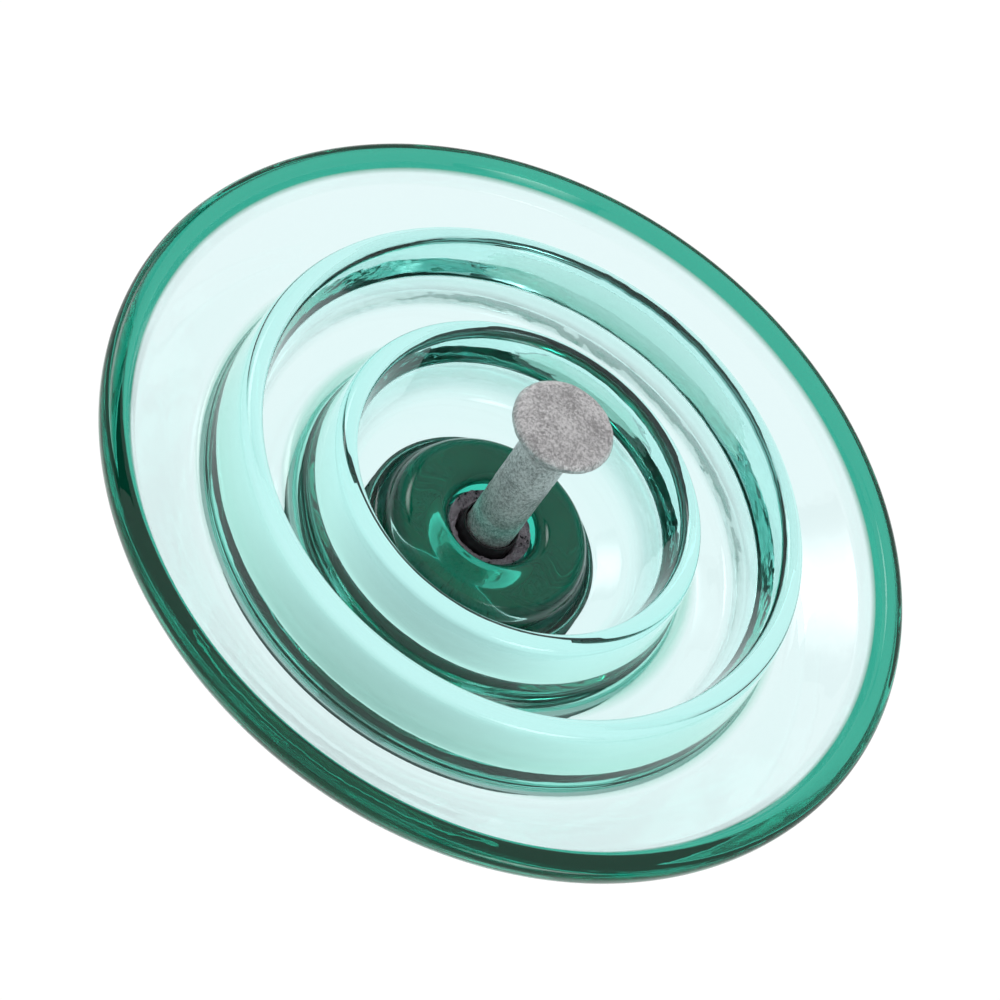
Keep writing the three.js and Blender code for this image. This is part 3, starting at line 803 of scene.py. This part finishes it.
def make_locking_pin():
    leg = WIRE_RADIUS + LEG_GAP / 2
    eye_start = -(SOCKET_OUTER + EYE_STANDOFF)
    eye_centre = eye_start - EYE_RADIUS
    turn = 2 * MM

    def at(x, y):
        return Vector((x, y, LEG_Z))

    far = at(eye_centre - EYE_RADIUS, 0)
    half = [at(LEG_REACH, leg + HOOK_SPREAD)]
    half += bezier([half[0], at(LEG_REACH - HOOK_LENGTH / 2, leg), at(LEG_REACH - HOOK_LENGTH, leg)], 10)
    half += bezier([half[-1], at(eye_start, leg)], 12)
    half += bezier([half[-1], at(eye_start - turn, leg), at(eye_start - turn, EYE_RADIUS),
                    at(eye_centre, EYE_RADIUS)], 16)
    half += bezier([half[-1], at(far.x, EYE_RADIUS), far], 16)
    other = [Vector((p.x, -p.y, p.z)) for p in reversed(half[:-1])]
    data = bpy.data.curves.new("locking_pin_fine", "CURVE")
    data.dimensions = "3D"
    data.bevel_depth = WIRE_RADIUS
    data.bevel_resolution = 5
    data.use_fill_caps = True
    spline = data.splines.new("POLY")
    path = half + other
    spline.points.add(len(path) - 1)
    for point, place in zip(spline.points, path):
        point.co = (*place, 1)
    spline.use_smooth = True
    piece = to_piece("locking_pin_fine", data, "lock", wire(), "stainless", "locking_pin")
    piece.visible_transmission = False


# ---- Camera and studio ----

def make_camera():
    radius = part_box("glass_shell")[1].x
    rim = Vector((0, 0, RIM_PLANE))
    forward = Vector((0, math.sin(TILT), math.cos(TILT)))
    pin_in_view = Vector((0, math.cos(TILT), -math.sin(TILT)))
    aside = forward.cross(pin_in_view)
    right = math.cos(PIN_HEADING) * pin_in_view - math.sin(PIN_HEADING) * aside
    down = math.sin(PIN_HEADING) * pin_in_view + math.cos(PIN_HEADING) * aside
    data = bpy.data.cameras.new("camera")
    data.sensor_width = SENSOR
    data.lens = SCALE * DISTANCE * SENSOR
    camera = bpy.data.objects.new("camera", data)
    bpy.context.scene.collection.objects.link(camera)
    place = rim - radius * (ASIDE[0] * right + ASIDE[1] * down + DISTANCE * forward)
    camera.matrix_world = Matrix((
        (right.x, -down.x, -forward.x, place.x),
        (right.y, -down.y, -forward.y, place.y),
        (right.z, -down.z, -forward.z, place.z),
        (0, 0, 0, 1)))
    data.clip_start = 0.01
    data.clip_end = 50
    bpy.context.scene.camera = camera


def make_world():
    """A white dome over the object that dims towards the side from which it is photographed."""
    world = bpy.data.worlds.new("studio")
    bpy.context.scene.world = world
    world.use_nodes = True
    nodes, links = world.node_tree.nodes, world.node_tree.links
    place = nodes.new("ShaderNodeTexCoord")
    along = nodes.new("ShaderNodeVectorMath")
    along.operation = "DOT_PRODUCT"
    links.new(place.outputs["Generated"], along.inputs[0])
    along.inputs[1].default_value = (0, math.sin(TILT), math.cos(TILT))
    fade = nodes.new("ShaderNodeMapRange")
    fade.interpolation_type = "SMOOTHSTEP"
    links.new(along.outputs["Value"], fade.inputs["Value"])
    for socket, value in (("From Min", DOME["dim_at"]), ("From Max", DOME["full_at"]),
                          ("To Min", DOME["dim"]), ("To Max", DOME["full"])):
        fade.inputs[socket].default_value = value
    nodes["Background"].inputs["Color"].default_value = (1, 1, 1, 1)
    links.new(fade.outputs["Result"], nodes["Background"].inputs["Strength"])


def plane(name, half_x, half_y):
    mesh = bmesh.new()
    corners = [mesh.verts.new((x * half_x, y * half_y, 0)) for x, y in ((-1, -1), (1, -1), (1, 1), (-1, 1))]
    mesh.faces.new(corners)
    data = bpy.data.meshes.new(name)
    mesh.to_mesh(data)
    mesh.free()
    piece = bpy.data.objects.new(name, data)
    bpy.context.scene.collection.objects.link(piece)
    return piece


def make_floor():
    floor = plane("floor", 6, 6)
    floor.location.z = -1.25
    m = Nodes("floor")
    m.color(m.ramp(m.noise(0.8, detail=3), [
        (0.3, (0.50, 0.50, 0.50)), (0.7, (0.54, 0.54, 0.54)), (1.0, (0.55, 0.55, 0.55))]))
    m.set(Roughness=0.8)
    floor.data.materials.append(m.material)


def add_softbox(name, place, target, half_size, strength):
    """A lamp panel that is brightest in the middle and fades out to its edges."""
    panel = plane(name, *half_size)
    panel.location = place
    panel.rotation_mode = "QUATERNION"
    panel.rotation_quaternion = (Vector(target) - Vector(place)).to_track_quat("Z", "Y")
    panel.visible_camera = False
    m = Nodes(name)
    inside = m.stretched((1 / half_size[0], 1 / half_size[1], 0))
    length = m.add("ShaderNodeVectorMath", operation="LENGTH")
    m.link(inside, length, 0)
    fade = m.add("ShaderNodeMapRange", interpolation_type="SMOOTHSTEP")
    m.link(length.outputs["Value"], fade, "Value")
    for socket, value in (("From Min", 0.1), ("From Max", 1.0), ("To Min", strength), ("To Max", 0.0)):
        fade.inputs[socket].default_value = value
    glow = m.add("ShaderNodeEmission")
    m.link(fade.outputs["Result"], glow, "Strength")
    m.tree.links.new(glow.outputs[0], m.tree.nodes["Material Output"].inputs["Surface"])
    panel.data.materials.append(m.material)


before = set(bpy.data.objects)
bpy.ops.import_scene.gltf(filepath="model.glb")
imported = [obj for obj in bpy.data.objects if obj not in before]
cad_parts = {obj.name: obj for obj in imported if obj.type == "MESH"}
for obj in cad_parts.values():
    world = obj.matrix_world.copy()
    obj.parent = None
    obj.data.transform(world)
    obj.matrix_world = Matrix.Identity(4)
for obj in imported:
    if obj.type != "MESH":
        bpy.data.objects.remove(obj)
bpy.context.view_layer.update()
make_camera()
make_world()
make_floor()
for name, settings in SOFTBOXES.items():
    add_softbox(name, **settings)
make_shell()
make_pin()
make_cap()
make_cap_cement()
make_pin_cement()
make_coats(bitumen())
make_cushions()
make_locking_pin()

scene = bpy.context.scene
scene.view_settings.view_transform = "Standard"
scene.cycles.max_bounces = 64
scene.cycles.transmission_bounces = 64
scene.cycles.transparent_max_bounces = 16
scene.cycles.use_denoising = True
